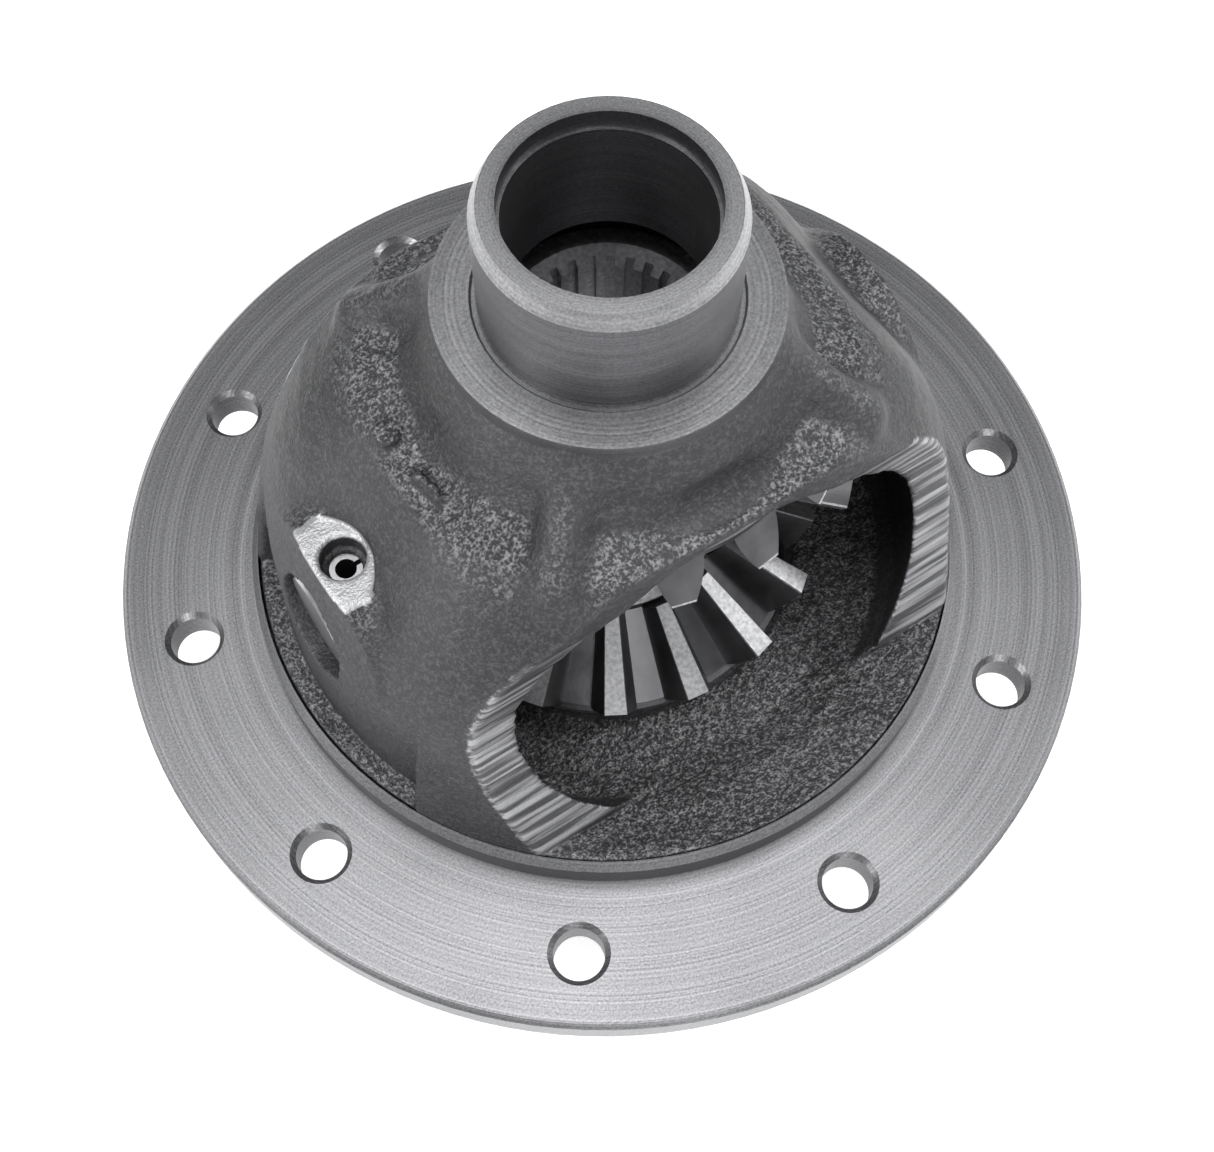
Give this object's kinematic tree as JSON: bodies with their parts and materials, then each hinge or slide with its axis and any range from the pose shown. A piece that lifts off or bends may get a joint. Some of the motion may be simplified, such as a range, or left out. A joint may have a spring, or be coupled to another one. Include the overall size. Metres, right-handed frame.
{
  "type": "differential gear assembly",
  "caption": "Open bevel-gear differential: flanged one-piece cast case with bearing journals, side gears and pinions on a locked cross pin.",
  "frame": {"origin": "centre of the flange face that the ring gear seats on, at the foot of the pilot", "axes": "+Z along the axle axis toward the visible hub, +X along the cross pin, windows facing +Y and -Y"},
  "size_m": [0.198, 0.198, 0.1562],
  "materials": {
    "cast_iron": "rough cast, machined on its seats and journals",
    "gear_steel": "forged and machined",
    "pin_steel": "ground",
    "washer_steel": "satin"
  },
  "bodies": {
    "case": {"differential_case": "cast_iron", "cross_pin": "pin_steel", "lock_pin": "pin_steel", "side_gear_washer_upper": "washer_steel", "side_gear_washer_lower": "washer_steel", "pinion_washer_right": "washer_steel", "pinion_washer_left": "washer_steel"},
    "side_gear_upper": {"side_gear_upper": "gear_steel"},
    "side_gear_lower": {"side_gear_lower": "gear_steel"},
    "pinion_right": {"pinion_gear_right": "gear_steel"},
    "pinion_left": {"pinion_gear_left": "gear_steel"}
  },
  "joints": [
    {"name": "side_gear_upper_spin", "type": "hinge", "parent": "case", "child": "side_gear_upper", "pos_m": [0, 0, 0.034], "axis": [0, 0, 1], "continuous": true},
    {"name": "side_gear_lower_spin", "type": "hinge", "parent": "case", "child": "side_gear_lower", "pos_m": [0, 0, 0.034], "axis": [0, 0, 1], "continuous": true},
    {"name": "pinion_right_spin", "type": "hinge", "parent": "case", "child": "pinion_right", "pos_m": [0, 0, 0.034], "axis": [1, 0, 0], "continuous": true},
    {"name": "pinion_left_spin", "type": "hinge", "parent": "case", "child": "pinion_left", "pos_m": [0, 0, 0.034], "axis": [1, 0, 0], "continuous": true}
  ],
  "couplings": [
    {"joint": "side_gear_lower_spin", "follows": "side_gear_upper_spin", "ratio": -1},
    {"joint": "pinion_right_spin", "follows": "side_gear_upper_spin", "ratio": -1.6},
    {"joint": "pinion_left_spin", "follows": "side_gear_upper_spin", "ratio": 1.6}
  ]
}
